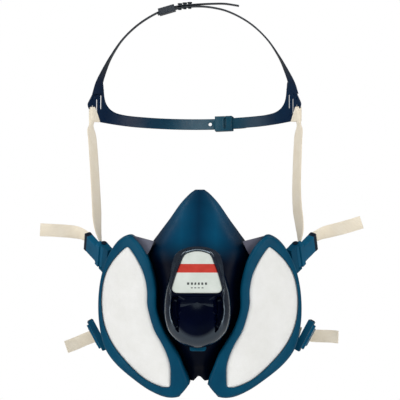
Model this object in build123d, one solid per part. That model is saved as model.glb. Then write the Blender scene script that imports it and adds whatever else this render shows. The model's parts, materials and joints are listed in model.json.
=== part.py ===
from build123d import *
import math
import os

# Half-mask respirator with two bonded filters, a front exhalation valve, a head cradle and a neck strap.
# Frame: millimetres, +Z up, the front of the mask faces -Y, the wearer's left is +X.
# The origin is the centre of the face opening. Left-hand pieces are built at +X and mirrored for the right.

# ---- driving dimensions
WALL = 2.5                  # moulded wall of the face-piece
GAP = 0.3                   # gap between separate mouldings
SEAL_WALL = 3.0             # soft side wall of the face seal
SEAL_LIP = 11.0             # width of the feathered sealing lip
SEAL_LIP_T = 1.6            # thickness of that lip
FACE_RADIUS = 71.0          # the face that the seal follows is a vertical cylinder
FACE_FRONT = -12.0          # its most forward line
PANEL_TILT = 8.0            # the filter panels lean, top forward, by this many degrees
BEZEL_T = 4.0               # front frame of a filter
HOUSING_DEPTH = 26.0        # filter housing, front to back
FILTER_RECESS = 1.8         # white filter below the bezel's front
FILTER_T = 4.0              # white particulate filter
CARBON_T = 14.0             # carbon bed
STRAP_W = 10.0              # elastic webbing
STRAP_T = 1.2
BAND_W = 9.0                # moulded bands of the head cradle
BAND_T = 1.1
CRADLE_SHIFT = -7.0         # the loose cradle hangs this far to the wearer's right
VALVE_AXIS_DEG = 27.0       # inhalation valves point this far outward

# ---- outlines seen from the front, as (x, z)
HOUSING_OUTER = [(14.5, -80.3), (21, -81.4), (35.6, -77.2), (50.9, -67.6), (64.3, -57.2), (72.9, -46), (76.9, -31),
                 (78, -15.5), (76.7, 1.3), (72.9, 16.6), (67.2, 28.6), (60, 37.6), (51.2, 42)]
HOUSING_INNER = [(51.2, 42), (44.3, 35.3), (37.9, 25.5), (34.1, 15), (31.4, 0.8), (31.1, -15), (25.9, -30),
                 (19, -41.3), (14.6, -49), (11.6, -57), (8.6, -64), (6.8, -70.6)]
WINDOW_INNER = [(52.6, 33.4), (46.7, 24.2), (41, 12.8), (38.4, 0), (38.2, -12), (33.6, -29), (28, -39), (23.5, -48.5),
                (21, -58), (20.7, -74)]
WINDOW_OUTER = [(20.7, -74), (28.5, -73), (41.3, -67.4), (54.7, -56), (66.2, -42.6), (72.9, -28.5), (75.2, -14),
                (74.6, -1), (71.6, 11), (66, 20.6), (59.3, 28), (52.6, 33.4)]
SEAL_OUTLINE = [(0, 73.3), (7, 70.6), (14, 62), (21.5, 51), (29, 40.5), (37, 30), (46, 19), (54, 5), (58, -10),
                (57.5, -26), (52, -42), (42, -54), (28, -62.5), (13, -66.3), (0, -66.3)]
EGG = [(0, 33), (10, 31.4), (17.3, 25.6), (21, 11), (23.8, 0), (24.9, -12), (24, -22), (20.6, -31), (12, -38.8),
       (0, -42)]
LABEL = [(0, 15.3), (9.6, 12), (12.5, 5), (15.2, -2.5), (18, -12)]

# ---- horizontal sections of the front shell: height, half width, front y, back y
SHELL_SECTIONS = [
    (-67, 6.8, -33, -13.4), (-61, 9.0, -37.5, -14.2), (-56, 10.9, -42, -15), (-49, 14.2, -46, -16), (-41, 18.6, -50, -17),
    (-30, 24.8, -54, -18.5), (-15, 29.7, -57, -20), (1, 30.0, -58, -21), (15, 32.7, -58, -22), (25, 35.8, -56.5, -21.5),
    (33, 36.6, -53.5, -21), (43, 30, -47.5, -19), (53, 22.7, -39.8, -17), (64.5, 14.8, -30.5, -15.5),
    (72, 8, -23.5, -14.5), (75.5, 3.5, -19.5, -14),
]

OUT = "parts"
os.makedirs(OUT, exist_ok=True)


def save(name, shape):
    export_step(shape, f"{OUT}/{name}.step")


def save_pair(name, shape):
    """Writes the left piece and its mirror image."""
    save(f"left_{name}", shape)
    save(f"right_{name}", mirror(shape, about=Plane.YZ))


def main_solid(shape):
    """The largest solid, without the slivers that a cut can leave."""
    return shape.solids().sort_by(SortBy.VOLUME)[-1]


def both_sides(half):
    """Points down the left side, then back up the right side, of a half outline that starts and ends on x = 0."""
    return half + [(-x, z) for x, z in reversed(half[1:-1])]


# ---- prisms: outlines run along Y, plan curves run up the leaning panels
def front_prism(face, y_low=-120.0, y_high=60.0):
    """A face drawn in (x, z), extruded from y_low to y_high."""
    return extrude(Plane(origin=(0, y_high, 0), x_dir=(1, 0, 0), z_dir=(0, -1, 0)) * face, y_high - y_low)


def panel_curve(depth):
    """The filter panels' front surface in plan, from x = 4 to 84, moved back by depth."""
    return ThreePointArc((4, -58.6 + depth), (46, -46.5 + depth), (84, -13.5 + depth))


def panel_layer(near, far):
    """Everything on the left side between the panel surface moved back by near and by far."""
    front, back = panel_curve(near), panel_curve(far)
    sides = [Line(front @ 0, back @ 0), Line(front @ 1, back @ 1)]
    plan = make_face([front, back, *sides])
    column = extrude(Plane.XY.offset(-110) * plan, 200)
    return Rot(PANEL_TILT, 0, 0) * column


def closed_pair(first, second):
    return make_face([Spline(*first), Spline(*second)])


def housing_outline():
    inner, outer = Spline(*HOUSING_INNER), Spline(*HOUSING_OUTER)
    notch = Line(HOUSING_INNER[-1], HOUSING_OUTER[0])
    face = make_face([inner, outer, notch])
    peak = face.vertices().sort_by(Axis.Y)[-1]
    return fillet(peak, 5)


def window_outline(grow=0.0):
    """The filter window, made larger all round by about grow."""
    x_mid, z_mid, x_half, z_half = 48.0, -20.0, 27.0, 54.0

    def grown(points):
        return [(x_mid + (x - x_mid) * (1 + grow / x_half), z_mid + (z - z_mid) * (1 + grow / z_half))
                for x, z in points]

    face = closed_pair(grown(WINDOW_INNER), grown(WINDOW_OUTER))
    return fillet(face.vertices(), 2)


def seal_outline(inset=0.0):
    """The outline of the face seal, made smaller all round by about inset."""
    points = [(x * (1 - inset / 58.0), z * (1 - inset / 70.0)) for x, z in SEAL_OUTLINE]
    return make_face(Spline(*both_sides(points), periodic=True))


# ---- the front shell: nose cone, centre and chin
def shell_section(z, half, front, back, inset=0.0):
    """A U-shaped section with a flat back, open towards the face."""
    half, front = half - inset, front + inset
    depth = back - front
    side = [(half, back), (0.985 * half, back - 0.42 * depth), (0.76 * half, back - 0.80 * depth),
            (0.40 * half, back - 0.965 * depth)]
    points = side + [(0, front)] + [(-x, y) for x, y in reversed(side)]
    face = make_face([Spline(*points), Line(points[-1], points[0])])
    return Plane.XY.offset(z) * face


def shell_outer():
    return loft([shell_section(*s) for s in SHELL_SECTIONS])


def shell_inner():
    """The hollow: the same sections, inset by the wall and run past the flat back."""
    inside = [s for s in SHELL_SECTIONS if -60 < s[0] < 70]
    lowest = (-61, 9.0, -36, -14)
    highest = (69.5, 9.5, -25.5, -15)
    faces = [shell_section(z, w, f, b + 1.0, WALL) for z, w, f, b in [lowest, *inside, highest]]
    return loft(faces)


def chin_notch():
    face = make_face(Polyline((0, -63.6), (16.4, -82), (16.4, -90), (-16.4, -90), (-16.4, -82), close=True))
    tip = face.vertices().sort_by(Axis.Y)[-1]
    return front_prism(fillet(tip, 2.5))


# ---- exhalation valve, a flat frame in the front of the shell
SEAT_HALF_W, SEAT_TOP, SEAT_BOTTOM = 15.5, 9.0, -29.0
SEAT_FRONT, SEAT_BACK = -60.0, -53.5
FLAP_HINGE = (0.0, -60.7, 6.2)


def box_between(low, high):
    size = [h - l for l, h in zip(low, high)]
    centre = [(h + l) / 2 for l, h in zip(low, high)]
    return Pos(*centre) * Box(*size)


def exhalation_seat():
    frame = box_between((-SEAT_HALF_W, SEAT_FRONT, SEAT_BOTTOM), (SEAT_HALF_W, SEAT_BACK, SEAT_TOP))
    port = box_between((-11.5, -70, -25.5), (11.5, -50, 3.5))
    ribs = box_between((-0.9, -59.4, -26), (0.9, -55, 4))
    for z in (-18, -11, -4):
        ribs += box_between((-12, -59.4, z - 0.7), (12, -55, z + 0.7))
    clamp = box_between((-13.5, -62.4, 7.0), (13.5, -59.9, 9.0))
    return frame - port + ribs + clamp


def exhalation_flap():
    """The thin flap lies on the seat and turns about its top edge."""
    plate = box_between((-13.2, -60.9, -27.6), (13.2, -60.2, 5.8))
    bead = Pos(FLAP_HINGE[0], FLAP_HINGE[1], FLAP_HINGE[2]) * Rot(0, 90, 0) * Cylinder(0.45, 26.4)
    return plate + bead


# ---- the egg-shaped cover over the valve, with a sloping panel for the label
LABEL_PLANE = Plane(origin=(0, -69.5, 15.5), x_dir=(1, 0, 0), z_dir=(0, -0.919, 0.394))


def egg_face(scale, inset=0.0, drop=0.0):
    """The egg outline, shrunk to scale and by inset, and lowered by drop."""
    wide = scale * (1 - inset / 25.0)
    tall = scale * (1 - inset / 37.5)
    points = [(x * wide, (z + 6) * tall - 6 - drop) for x, z in EGG]
    return make_face(Spline(*both_sides(points), periodic=True))


def egg_loft(inset):
    stations = [(-48, 1.0, 0), (-62, 1.0, 0), (-70, 0.95, 0.3), (-76, 0.82, 1.2), (-79, 0.62, 2.0)]
    faces = []
    for y, scale, drop in stations:
        place = Plane(origin=(0, y + inset, 0), x_dir=(1, 0, 0), z_dir=(0, -1, 0))
        faces.append(place * egg_face(scale, inset, drop))
    return loft(faces)


def label_face(grow=0.0):
    """The label's outline in its own plane, made larger all round by about grow."""
    wide, tall = 1 + grow / 17.0, 1 + grow / 16.0
    right = Spline(*[(x * wide, (z + 1) * tall - 1) for x, z in LABEL], tangents=[(1, 0), (0.15, -1)])
    end = right @ 1
    corner = RadiusArc(end, (end.X - 2.6, end.Y - 5.5), 4.6)
    low = corner @ 1
    half = [right, corner, Line(low, (0, low.Y))]
    return make_face([*half, *[mirror(e, about=Plane.YZ) for e in half]])


def exhalation_cover(shell):
    outside, inside = egg_loft(0), egg_loft(2.0)
    slope_cut = LABEL_PLANE * Pos(0, 35 - 18.6, 20) * Box(80, 70, 40)
    under_slope = LABEL_PLANE * Pos(0, 35 - 20.0, 18) * Box(80, 70, 40)
    cover = (outside - slope_cut) - (inside - under_slope)
    rim = extrude(LABEL_PLANE * (label_face(1.9) - label_face(0.3)), 1.2)
    outlet = box_between((-12, -90, -39), (12, -60, -8))
    cover = cover + rim - outlet
    for x in (14, -19):
        cover -= box_between((x, -90, -33), (x + 5, -63, -12))
    cover += box_between((-5, -60, -45), (5, -50, -40.2))
    seat_room = box_between((-SEAT_HALF_W - 0.2, -63, SEAT_BOTTOM - 0.2), (SEAT_HALF_W + 0.2, -40, SEAT_TOP + 0.2))
    return cover - seat_room - shell


def exhaust_louvre():
    """The ribbed insert that closes the outlet but for its slots."""
    y_at = [(-8.3, -77.8), (-16, -76.6), (-24, -73.4), (-31, -69.0), (-38.5, -62.5)]
    outside = [(y, z) for z, y in y_at]
    inside = [(y + 1.8, z + 0.2) for z, y in reversed(y_at)]
    side = make_face(Polyline(*outside, *inside, close=True))
    panel = extrude(Plane(origin=(-11.8, 0, 0), x_dir=(0, 1, 0), z_dir=(1, 0, 0)) * side, 23.6)
    for z in (-14, -19.5, -25, -30.5, -35.5):
        panel -= box_between((-8.5, -90, z - 0.9), (8.5, -55, z + 0.9))
    return panel


# ---- filters
def bezel():
    ring = front_prism(housing_outline() - window_outline())
    return ring & panel_layer(0, BEZEL_T)


def housing():
    tray = front_prism(housing_outline()) & panel_layer(BEZEL_T, HOUSING_DEPTH)
    pocket = front_prism(window_outline(0.9)) & panel_layer(-10, HOUSING_DEPTH - 2.2)
    return tray - pocket


def filter_pad():
    return front_prism(window_outline(-0.15)) & panel_layer(FILTER_RECESS, FILTER_RECESS + FILTER_T)


def carbon_bed():
    near = FILTER_RECESS + FILTER_T + 0.2
    return front_prism(window_outline(-0.4)) & panel_layer(near, near + CARBON_T)


def side_web():
    """The grey web that fills the corner between the nose cone and a filter housing."""
    outline = make_face(Polyline((49, 40.4), (33.2, 36.4), (36.2, 30), (38.2, 26.5), (46, 32), close=True))
    return front_prism(outline) & panel_layer(7, 18.5)


# ---- inhalation valves
def in_valve(shape):
    """Places a shape drawn about +Z on the wall behind a filter, with +Z towards the face."""
    turn = math.radians(VALVE_AXIS_DEG)
    wall_y = -46.5 + HOUSING_DEPTH + GAP + WALL
    place = Plane(origin=(46, wall_y, -11), x_dir=(math.cos(turn), math.sin(turn), 0),
                  z_dir=(-math.sin(turn), math.cos(turn), 0))
    return Rot(PANEL_TILT, 0, 0) * (place * shape)


def disc(radius, low, high):
    return Pos(0, 0, (low + high) / 2) * Cylinder(radius, high - low)


def inhalation_seat():
    seat = disc(12, -6, 1.2) + disc(15, -0.6, 1.2) - disc(10, -10, 10)
    spider = disc(2.2, -3, 1.2)
    for turn in (0, 60, 120):
        spider += Rot(0, 0, turn) * Pos(0, 0, -0.9) * Box(21, 1.6, 2.2)
    stud = disc(1.3, 0, 4.9) + disc(2.6, 4.0, 4.9)
    return in_valve(seat + spider + stud)


def inhalation_flap():
    return in_valve(disc(11.4, 1.4, 1.9) - disc(1.5, 0, 5))


def valve_hole(radius, low, high):
    return in_valve(disc(radius, low, high))


# ---- face seal
def face_column(radius_add=0.0):
    centre_y = FACE_FRONT + FACE_RADIUS
    return Pos(0, centre_y, 0) * Cylinder(FACE_RADIUS + radius_add, 240)


def face_seal(shell):
    left = panel_layer(HOUSING_DEPTH + GAP, 110)
    right = mirror(left, about=Plane.YZ)
    bridge = Rot(PANEL_TILT, 0, 0) * box_between((-4.2, -58.6 + HOUSING_DEPTH + GAP, -110), (4.2, 60, 90))
    room = left + right + bridge
    left_in = panel_layer(HOUSING_DEPTH + GAP + WALL, 110)
    room_in = left_in + mirror(left_in, about=Plane.YZ) + bridge
    cup = (front_prism(seal_outline()) & room) - face_column()
    hollow = front_prism(seal_outline(SEAL_WALL)) & room_in
    lip = front_prism(seal_outline() - seal_outline(SEAL_LIP)) & (face_column(SEAL_LIP_T) - face_column())
    seal = (cup - hollow) + lip - shell
    hole = valve_hole(12.3, -12, 6)
    spot = valve_hole(15.3, -0.8, 6)
    for cut in (hole, spot):
        seal = seal - cut - mirror(cut, about=Plane.YZ)
    return main_solid(seal)


# ---- buckles: drawn with the pivot along X, the lever along +Y and the outer face towards +Z
PIN_R = 1.25
BARREL_R = 2.5
BASE_HALF = 10.4
LEVER_HALF = 7.6
LEVER_LEN = 21.0
RAIL_T = 1.7
EAR_T = 2.0


def buckle_lever():
    barrel = Rot(0, 90, 0) * Cylinder(BARREL_R, 2 * BASE_HALF)
    base = box_between((-BASE_HALF, 0, -1.1), (BASE_HALF, 6.2, 1.1))
    plate = box_between((-LEVER_HALF, 4, -1.1), (LEVER_HALF, LEVER_LEN, 1.1))
    rails = box_between((-LEVER_HALF, 3, 1), (RAIL_T - LEVER_HALF, LEVER_LEN, 3.0))
    rails += box_between((LEVER_HALF - RAIL_T, 3, 1), (LEVER_HALF, LEVER_LEN, 3.0))
    lever = barrel + base + plate + rails
    for y in (7.2, 13.8):
        lever -= box_between((-5.6, y - 1.6, -3), (5.6, y + 1.6, 5))
    cover = box_between((-LEVER_HALF, 2, 2.9), (LEVER_HALF, LEVER_LEN - 3, 4.1))
    cover += box_between((-BASE_HALF, 0.4, 1.0), (BASE_HALF, 4.6, 4.1))
    lever += cover
    return lever - Rot(0, 90, 0) * Cylinder(PIN_R + 0.06, 60)


def buckle_pin():
    half = BASE_HALF + 0.3 + EAR_T
    pin = Rot(0, 90, 0) * Cylinder(PIN_R, 2 * half)
    heads = [Pos(side * (half + 0.3), 0, 0) * Rot(0, 90, 0) * Cylinder(PIN_R + 0.7, 0.6) for side in (-1, 1)]
    return pin + heads[0] + heads[1]


def buckle_lug(reach):
    """Two ears and the block that joins them to the housing wall, reach behind the pivot."""
    inner = BASE_HALF + 0.3
    lug = box_between((-inner - EAR_T, -reach, -2.4), (inner + EAR_T, -BARREL_R - 0.5, 2.4))
    for side in (-1, 1):
        mid = side * (inner + EAR_T / 2)
        ear = Rot(0, 90, 0) * Cylinder(2.6, EAR_T) + Pos(0, -2.5, 0) * Box(EAR_T, 5, 5)
        lug += Pos(mid, 0, 0) * ear
    return lug - Rot(0, 90, 0) * Cylinder(PIN_R, 60)


def strap_wrap():
    """Webbing threaded up through the lower slot, over the bar and down through the upper one."""
    low, top, t = -2.9, 1.3, STRAP_T
    path = Polyline((6.6, low), (6.6, top + t), (14.4, top + t), (14.4, -1.3), (22.4, -1.3), (22.4, -1.3 - t),
                    (14.4 - t, -1.3 - t), (14.4 - t, top), (6.6 + t, top), (6.6 + t, low), close=True)
    face = make_face(path)
    return extrude(Plane(origin=(-STRAP_W / 2, 0, 0), x_dir=(0, 1, 0), z_dir=(1, 0, 0)) * face, STRAP_W)


def frame_at(origin, along, lever):
    """A buckle's frame: local X along the pivot, local Y along the lever."""
    x, y = Vector(*along).normalized(), Vector(*lever).normalized()
    return Plane(origin=origin, x_dir=x, z_dir=x.cross(y))


UPPER = frame_at((74.6, -14, 24.7), (0.117, 0.623, -0.771), (0.587, 0.587, 0.563))
LOWER = frame_at((81.0, 9.5, -38), (-0.47, 0, -0.88), (0.12, 0.985, -0.064))


def tail_run(frame, stations):
    """The free end of the webbing: straight off the end of its wrap, then along the stations."""
    across = tuple(frame.x_dir)
    start = [(tuple(frame.from_local_coords((0, y, -1.3 - STRAP_T / 2))), across) for y in (20.5, 23.5)]
    return start + stations


def ribbon(stations, width=STRAP_W, thick=STRAP_T):
    """A flat strip through stations of (centre, width direction); its section stays square to the run."""
    faces = []
    centres = [Vector(*c) for c, _ in stations]
    for i, (centre, across) in enumerate(stations):
        run = centres[min(i + 1, len(centres) - 1)] - centres[max(i - 1, 0)]
        faces.append(Plane(origin=centre, x_dir=square_to(across, run), z_dir=run) * Rectangle(width, thick))
    return loft(faces)


def square_to(across, run):
    a, r = Vector(*across), run.normalized()
    return (a - r * a.dot(r)).normalized()


# ---- webbing runs. Each is (centre, width direction), for the left side before any sideways shift
def upper_run(sign):
    """From behind the upper buckle to the cradle's corner; the loose cradle pulls it sideways."""
    half = [((76.3, -6.0, 31.5), (-0.12, -0.62, 0.77), 0.0), ((79.0, 0.0, 41.0), (-0.3, -0.75, 0.55), -1.0),
            ((78.8, 8.0, 50.5), (-0.75, -0.6, 0.25), -2.3), ((78.2, 16.0, 60.0), (-1, -0.2, 0), -3.4),
            ((79.1, 28.0, 75.4), (-1, 0, 0), -4.6), ((80.8, 42.0, 95.3), (-1, 0, 0), -5.5),
            ((82.6, 56.0, 114.0), (-1, 0.1, 0), -6.3), ((84.0, 63.0, 122.0), (-0.8, 0.6, 0), -6.8),
            ((84.6, 66.5, 127.5), (-0.45, 0.85, 0.1), -7.0)]
    return [((sign * x + s, y, z), (sign * a, b, c)) for (x, y, z), (a, b, c), s in half]


def upper_tail(rise):
    """The stations of an upper tail whose end is rise higher than level."""
    return [((93, 4.2, 41.2), (0.1, 0.45, -0.88)), ((100, 4.5, 42.6 + 0.1 * rise), (0.15, 0.15, -0.97)),
            ((109, 1.5, 43.2 + 0.35 * rise), (0.25, 0, -0.97)), ((124.5, -3.0, 43.4 + rise), (0.27, 0, -0.96))]


def lower_tail(drop):
    """The stations of a lower tail whose end is drop lower than level."""
    return [((86.5, 36.4, -40.2 - 0.1 * drop), (-0.36, 0.1, -0.92)), ((94, 36.2, -40.6 - 0.4 * drop), (-0.25, 0.1, -0.96)),
            ((108, 31.0, -41.0 - drop), (-0.15 - 0.03 * drop, 0.1, -0.97))]


# How far each tail's end lies above or below level: the loose ends hang differently on the two sides.
UPPER_RISE = {"left": 7.0, "right": 1.0}
LOWER_DROP = {"left": 0.0, "right": 8.5}
NECK_RUN = [((77.2, 18, -36.9), (-0.35, 0, -0.94)), ((75.2, 30, -39.3), (-0.15, 0, -0.99)),
            ((73.5, 55, -43), (-0.05, 0, -1)), ((67.5, 88, -47), (0, 0, -1)), ((53, 117.5, -50), (0, 0, -1)),
            ((34, 132.5, -51.5), (0, 0, -1)), ((24, 135.7, -52), (0, 0, -1)), ((17.2, 136, -52), (0, 0, -1))]

# ---- neck clip, at the back of the neck strap
CLIP_Y, CLIP_Z = 138.0, -52.0
BAR_X = 17.0                # each strap's loop is round a bar this far from the middle
BAR_R = 1.2


def clip_bar(side):
    return Pos(side * BAR_X, 0, 0) * Cylinder(BAR_R, 13)


def clip_eye():
    frame = box_between((-BAR_X, -1.2, -7.5), (-1.2, 1.2, 7.5))
    frame -= box_between((-BAR_X - 1, -2, -5.8), (-12.6, 2, 5.8))
    frame -= box_between((-9.6, -2, -4.6), (-3.2, 2, 4.6))
    return Pos(0, CLIP_Y, CLIP_Z) * (frame + clip_bar(-1))


def clip_hook():
    frame = box_between((1.2, -1.2, -7.5), (BAR_X, 1.2, 7.5))
    frame -= box_between((12.6, -2, -5.8), (BAR_X + 1, 2, 5.8))
    arm = box_between((-8.2, 1.6, -3.8), (6, 3.4, 3.8)) + box_between((1.2, 0, -3.8), (6, 3.4, 3.8))
    nose = box_between((-8.2, -0.9, -3.8), (-5.6, 3.4, 3.8))
    return Pos(0, CLIP_Y, CLIP_Z) * (frame + arm + nose + clip_bar(1))


def strap_ring():
    """The sewn loop of the neck strap round a clip's bar."""
    return Pos(BAR_X, CLIP_Y, CLIP_Z) * (Cylinder(BAR_R + 0.25 + STRAP_T, STRAP_W) - Cylinder(BAR_R + 0.25, 20))


# ---- head cradle: two moulded halves that overlap at the crown and at the back
ARC_R = 105.0               # rear band's mid radius, seen from above
ARC_Y = 10.0                # its centre
CORNER_DEG = 55.0           # half angle of the rear band
BAND_Z = 137.0              # the band's mid height at the corners
BAND_DROP = 7.6             # the rear band dips this many degrees towards the back
CROWN_Y = 65.0
LAP = 0.75                  # half the distance between the two laps' mid surfaces
CROWN = [((80.2, 77.3, 157.0), (0.643, -0.766, 0)), ((78.6, 74.5, 163.0), (0.55, -0.83, 0)),
         ((75.2, 71, 171.5), (0.38, -0.92, 0)), ((68.3, 67.5, 184.5), (0.12, -1, 0)),
         ((58.5, 65.5, 198.5), (0, -1, 0)), ((45, 65, 211), (0, -1, 0)), ((29, 65, 220.2), (0, -1, 0)),
         ((14.5, 65, 224.4), (0, -1, 0)), ((0, 65, 225.6), (0, -1, 0))]
PEG_X = (-12.0, -8.0, -4.0)


def arc_wall(radius, low_deg, high_deg, z_low, z_high, thick=BAND_T):
    """A piece of upright band between two angles from +Y, before the dip."""
    tall = z_high - z_low
    ring = Cylinder(radius + thick / 2, tall) - Cylinder(radius - thick / 2, tall + 2)
    reach = 3 * ARC_R
    a, b = math.radians(low_deg), math.radians(high_deg)
    wedge = make_face(Polyline((0, 0), (reach * math.sin(a), reach * math.cos(a)),
                               (reach * math.sin((a + b) / 2), reach * math.cos((a + b) / 2)),
                               (reach * math.sin(b), reach * math.cos(b)), close=True))
    sector = ring & extrude(Plane.XY.offset(-60) * wedge, 120)
    return Pos(0, ARC_Y, (z_low + z_high) / 2) * sector


def dip(shape):
    """Leans the rear band down towards the back, about the line through its corners."""
    corner_y = ARC_Y + ARC_R * math.cos(math.radians(CORNER_DEG))
    return Pos(0, corner_y, BAND_Z) * Rot(-BAND_DROP, 0, 0) * Pos(0, -corner_y, -BAND_Z) * shape


def corner_panel(radius):
    """The broad slotted corner where the rear band meets the crown arm."""
    wall = arc_wall(radius, 33, 57.4, 126, 164)
    outline = make_face(Polyline((92, 131.3), (92, 146), (84.5, 161), (73, 164), (73.6, 153), (71.6, 146.5), (67, 142.6),
                                 (58, 141.5), (58, 131.3), close=True))
    return wall & front_prism(outline, 40, 120)


def corner_slots():
    """Cutters for the three upright slots that the webbing can pass through."""
    spots = ((84.2, 131.9, 145.4), (80.6, 140, 151), (77.4, 144.5, 154.5))
    return [box_between((x - 0.75, 40, low), (x + 0.75, 120, high)) for x, low, high in spots]


def radial(deg, radius, length, r):
    """A round cutter or peg on a radius of the rear band."""
    a = math.radians(deg)
    place = Plane(origin=(radius * math.sin(a), ARC_Y + radius * math.cos(a), BAND_Z), x_dir=(0, 0, 1),
                  z_dir=(math.sin(a), math.cos(a), 0))
    return dip(place * Cylinder(r, length))


HOLE_DEG = (6.1, 10.5, 14.9, 19.3)


def crown_lap(stations, lift, tail):
    """One crown arm: up from its corner, then over the middle by the tail's stations."""
    raised = [((x, y, z + lift * max(0.0, 1 - x / 45)), w) for (x, y, z), w in stations]
    return ribbon(raised + [((x, CROWN_Y, z), (0, -1, 0)) for x, z in tail], BAND_W, BAND_T)


def peg_cut(radius):
    cut = None
    for x in PEG_X:
        one = Pos(x, CROWN_Y, 225) * Cylinder(radius, 16)
        cut = one if cut is None else cut + one
    return cut


def cradle_half(lap_radius, end_deg, lift, tail):
    """A cradle half at +X: rear arm, corner panel and crown arm in one moulding."""
    rear = dip(arc_wall(lap_radius, end_deg, 52, BAND_Z - BAND_W / 2, BAND_Z + BAND_W / 2))
    half = rear + corner_panel(lap_radius) + crown_lap(CROWN, lift, tail)
    for slot in corner_slots():
        half -= slot
    return half


def left_cradle():
    """The wearer's left half: the inner lap behind the head, the lower lap on the crown."""
    half = cradle_half(ARC_R - LAP, 8.7, -LAP, [(-14.5, 223.1), (-30, 218.3)])
    half -= radial(10.5, ARC_R, 12, 1.5)
    return half - peg_cut(1.5)


def right_cradle():
    """The wearer's right half: the outer lap behind the head, and the crown lap with the free tail."""
    half = cradle_half(ARC_R + LAP, -22.5, LAP, [(-14.5, 226.3), (-25, 226.2), (-34.4, 224.4)])
    for deg in HOLE_DEG:
        half -= radial(-deg, ARC_R, 12, 1.5)
    half = mirror(half, about=Plane.YZ)
    return half - peg_cut(1.5)


def rear_keeper():
    """The loop that holds the two rear laps together."""
    block = arc_wall(ARC_R, 8.5, 16.7, BAND_Z - 6.2, BAND_Z + 6.2, 6.0)
    block -= arc_wall(ARC_R, 7, 18, BAND_Z - 4.8, BAND_Z + 4.8, 3.4)
    window = box_between((22.6, 100, BAND_Z - 4.4), (24.6, 111.4, BAND_Z + 4.4))
    eye = Pos(23.6, 110, BAND_Z + 5.5) * Rot(90, 0, 0) * Cylinder(0.5, 30)
    return dip(block - window - eye)


def rear_peg():
    return radial(10.5, ARC_R, 3.3, 1.4)


def crown_keeper():
    block = Box(13.6, 12.4, 5.3) - Box(20, 9.6, 4.3)
    return Pos(-22.6, CROWN_Y, 222.0) * Rot(0, -16, 0) * block


def crown_pegs():
    pegs = None
    for x in PEG_X:
        z = 225.5 - x * x / 130
        peg = Pos(x, CROWN_Y, z) * (Cylinder(1.35, 4.6) + Pos(0, 0, 2.6) * Cylinder(1.9, 1.0))
        pegs = peg if pegs is None else pegs + peg
    return pegs


def strap_loop(cradle):
    """Webbing round the outer bar of a cradle corner, with its width upright."""
    a = math.radians(CORNER_DEG)
    place = Plane(origin=(ARC_R * math.sin(a), ARC_Y + ARC_R * math.cos(a), 138.2), x_dir=(math.cos(a), -math.sin(a), 0),
                  z_dir=(0, 0, 1))
    outer, inner = Box(10.2, 5.4, 11.0), Box(10.2 - 2 * STRAP_T, 5.4 - 2 * STRAP_T, 20)
    loop = place * Pos(0.9, 0, 0) * (outer - inner)
    return main_solid(loop - cradle)


# ---- build and write every piece
shell_body = shell_outer()
chin = chin_notch()
seat_window = box_between((-SEAT_HALF_W - 0.1, -75, SEAT_BOTTOM - 0.1), (SEAT_HALF_W + 0.1, -45, SEAT_TOP + 0.1))
save("facepiece_shell", shell_body - shell_inner() - chin - seat_window)
save("face_seal", face_seal(shell_body))

upper_lug = UPPER * buckle_lug(9)
lower_lug = LOWER * buckle_lug(10)
pocket_room = front_prism(window_outline(0.9)) & panel_layer(-10, HOUSING_DEPTH - 2.2)
tray = housing() - valve_hole(12.3, -20, 6)
save_pair("filter_housing", tray + (upper_lug - pocket_room) + (lower_lug - pocket_room))
save_pair("filter_bezel", bezel() - upper_lug - lower_lug)
save_pair("particulate_filter", filter_pad())
save_pair("carbon_bed", carbon_bed())
save_pair("side_web", side_web() - tray - shell_body)
save_pair("inhalation_valve_seat", inhalation_seat())
save_pair("inhalation_valve_flap", inhalation_flap())

save("exhalation_valve_seat", exhalation_seat())
save("exhalation_valve_flap", exhalation_flap())
save("exhalation_cover", exhalation_cover(shell_body))
save("exhaust_louvre", exhaust_louvre())
save("label_panel", extrude(LABEL_PLANE * label_face(), 0.8))

for level, frame in (("upper", UPPER), ("lower", LOWER)):
    save_pair(f"{level}_buckle", frame * buckle_lever())
    save_pair(f"{level}_buckle_pin", frame * buckle_pin())
for side in ("left", "right"):
    upper = UPPER * strap_wrap() + ribbon(tail_run(UPPER, upper_tail(UPPER_RISE[side])))
    lower = LOWER * strap_wrap() + ribbon(tail_run(LOWER, lower_tail(LOWER_DROP[side])))
    for level, tail in (("upper", upper), ("lower", lower)):
        save(f"{side}_{level}_strap_tail", tail if side == "left" else mirror(tail, about=Plane.YZ))

save("left_upper_strap", ribbon(upper_run(1)))
save("right_upper_strap", ribbon(upper_run(-1)))
save_pair("neck_strap", ribbon(NECK_RUN) + strap_ring())
save("neck_clip_eye", clip_eye())
save("neck_clip_hook", clip_hook())

shifted = Pos(CRADLE_SHIFT, 0, 0)
left_half, right_half = left_cradle(), right_cradle()
save("left_cradle_half", shifted * left_half)
save("right_cradle_half", shifted * right_half)
save("rear_keeper", shifted * rear_keeper())
save("rear_peg", shifted * rear_peg())
save("crown_keeper", shifted * crown_keeper())
save("crown_pegs", shifted * crown_pegs())
save("left_strap_loop", shifted * strap_loop(left_half))
save("right_strap_loop", shifted * mirror(strap_loop(mirror(right_half, about=Plane.YZ)), about=Plane.YZ))
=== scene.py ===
"""Looks of a half-mask respirator: moulded face-piece, filters, exhalation cover, buckles, webbing and head cradle.

Outlines are in millimetres, as (x, z) seen from the front, and turn into metres in one place, add_mesh().
Left-hand pieces are drawn at +X and mirrored for the right.
"""
import json
import math

import bpy
import bmesh
import numpy as np
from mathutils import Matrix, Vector
from mathutils.geometry import delaunay_2d_cdt


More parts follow.
